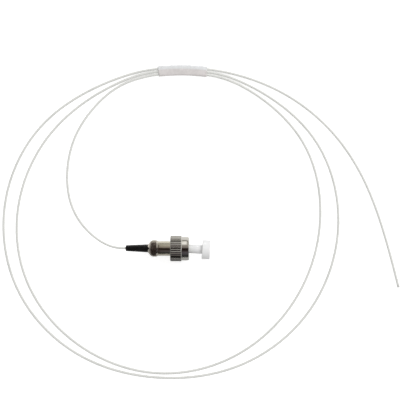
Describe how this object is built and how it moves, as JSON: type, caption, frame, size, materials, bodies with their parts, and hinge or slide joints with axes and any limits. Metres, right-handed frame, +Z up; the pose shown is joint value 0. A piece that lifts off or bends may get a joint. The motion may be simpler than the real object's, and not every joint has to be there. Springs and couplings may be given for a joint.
{
  "type": "screw-on fibre connector pigtail",
  "caption": "Screw-on fibre optic connector with ribbed coupling nut, boot and dust cap, on a buffered pigtail fibre bundled in a clear sleeve.",
  "frame": {"origin": "on the surface that the connector lies on, under the middle of the connector's length", "axes": "+X along the connector from its boot to its dust cap, +Z up"},
  "size_m": [0.1547, 0.1224, 0.0098],
  "materials": {
    "boot_rubber": "smooth satin black",
    "nickel_knurled": "nickel plate over a fine diamond knurl",
    "nickel": "turned nickel plate, warm",
    "nickel_nut": "nickel plate over straight ribs",
    "spring_steel": "drawn steel",
    "ceramic": "ground and polished ceramic",
    "fibre_glass": "clear glass",
    "buffer_coat": "white buffer coating",
    "cap_plastic": "milky translucent moulded plastic",
    "clear_sleeve": "clear soft plastic"
  },
  "bodies": {
    "plug": {"boot": "boot_rubber", "rear_body": "nickel_knurled", "plug_barrel": "nickel", "ferrule_spring": "spring_steel", "inner_fibre": "buffer_coat", "pigtail_fibre": "buffer_coat", "bundle_sleeve": "clear_sleeve"},
    "ring": {"retaining_ring": "spring_steel"},
    "nut": {"coupling_nut": "nickel_nut"},
    "ferrule_unit": {"ferrule_holder": "nickel", "ferrule": "ceramic", "glass_fibre": "fibre_glass"},
    "cap": {"dust_cap": "cap_plastic"}
  },
  "joints": [
    {"name": "nut_slide", "type": "slide", "parent": "plug", "child": "ring", "axis": [1, 0, 0], "range_m": [-0.0041, 0]},
    {"name": "nut_spin", "type": "hinge", "parent": "ring", "child": "nut", "pos_m": [0, 0, 0.0049], "axis": [1, 0, 0], "continuous": true},
    {"name": "ferrule_float", "type": "slide", "parent": "plug", "child": "ferrule_unit", "axis": [1, 0, 0], "range_m": [-0.0015, 0], "stiffness_N_per_m": 2000, "deforming": ["ferrule_spring", "inner_fibre"]},
    {"name": "cap_pull", "type": "slide", "parent": "ferrule_unit", "child": "cap", "axis": [0.9986, -0.0523, 0], "range_m": [0, 0.012]}
  ]
}
